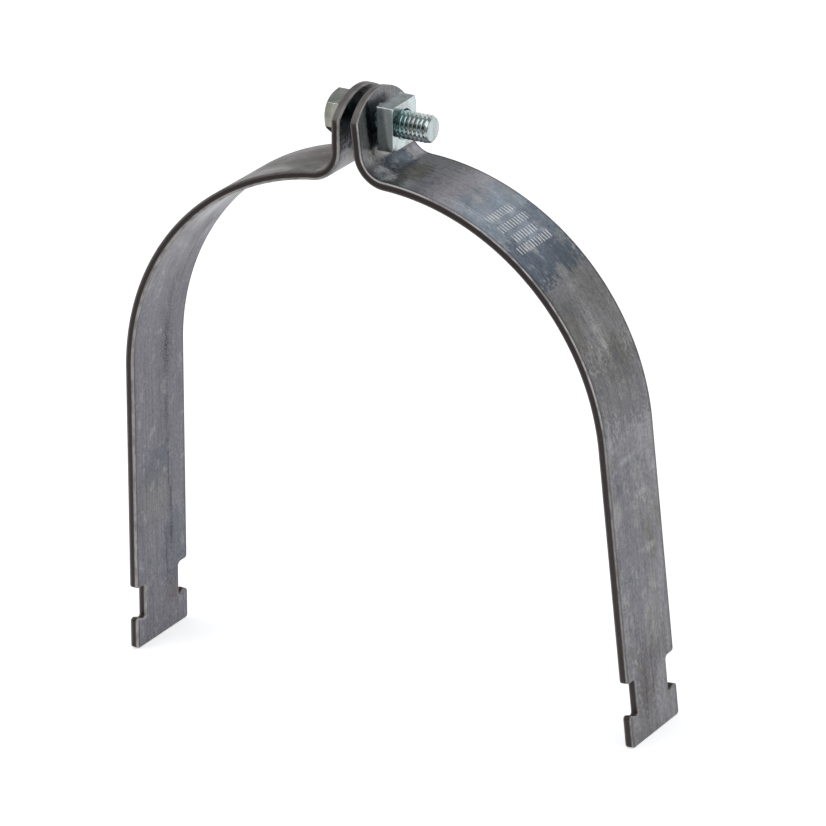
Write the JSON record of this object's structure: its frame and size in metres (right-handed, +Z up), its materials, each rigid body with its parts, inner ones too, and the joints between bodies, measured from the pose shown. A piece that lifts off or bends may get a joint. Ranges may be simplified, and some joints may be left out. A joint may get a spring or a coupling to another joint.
{
  "type": "two-piece strut channel pipe clamp",
  "caption": "Two-piece strut clamp: bent steel straps with hooked feet, drawn together round a pipe by a hex head screw and square nut.",
  "frame": {"origin": "on the pipe's axis, midway between the two straps and midway across them", "axes": "+X across the pipe, from the screw's head to its nut, +Y along the pipe, +Z up from the feet to the screw"},
  "size_m": [0.1992, 0.0318, 0.2138],
  "materials": {
    "strap_steel": "plain rolled steel, lightly oiled, with heat-blue and rust-brown stains",
    "zinc_plate": "bright zinc plating"
  },
  "bodies": {
    "head_side": {"strap_head_side": "strap_steel"},
    "nut_side": {"strap_nut_side": "strap_steel"},
    "screw": {"hex_screw": "zinc_plate"},
    "nut": {"square_nut": "zinc_plate"}
  },
  "joints": [
    {"name": "nut_travel", "type": "slide", "parent": "head_side", "child": "nut", "axis": [0.9989, 0, -0.0462], "range_m": [-0.003, 0.0102]},
    {"name": "screw_turn", "type": "hinge", "parent": "head_side", "child": "screw", "pos_m": [0, 0, 0.10264], "axis": [0.9989, 0, -0.0462], "range_deg": [-2320, 690]},
    {"name": "nut_side_swing", "type": "hinge", "parent": "nut", "child": "nut_side", "pos_m": [0, 0, 0.10264], "axis": [0.9989, 0, -0.0462], "continuous": true}
  ],
  "couplings": [
    {"joint": "screw_turn", "follows": "nut_travel", "rad_per_m": -3957.9}
  ]
}
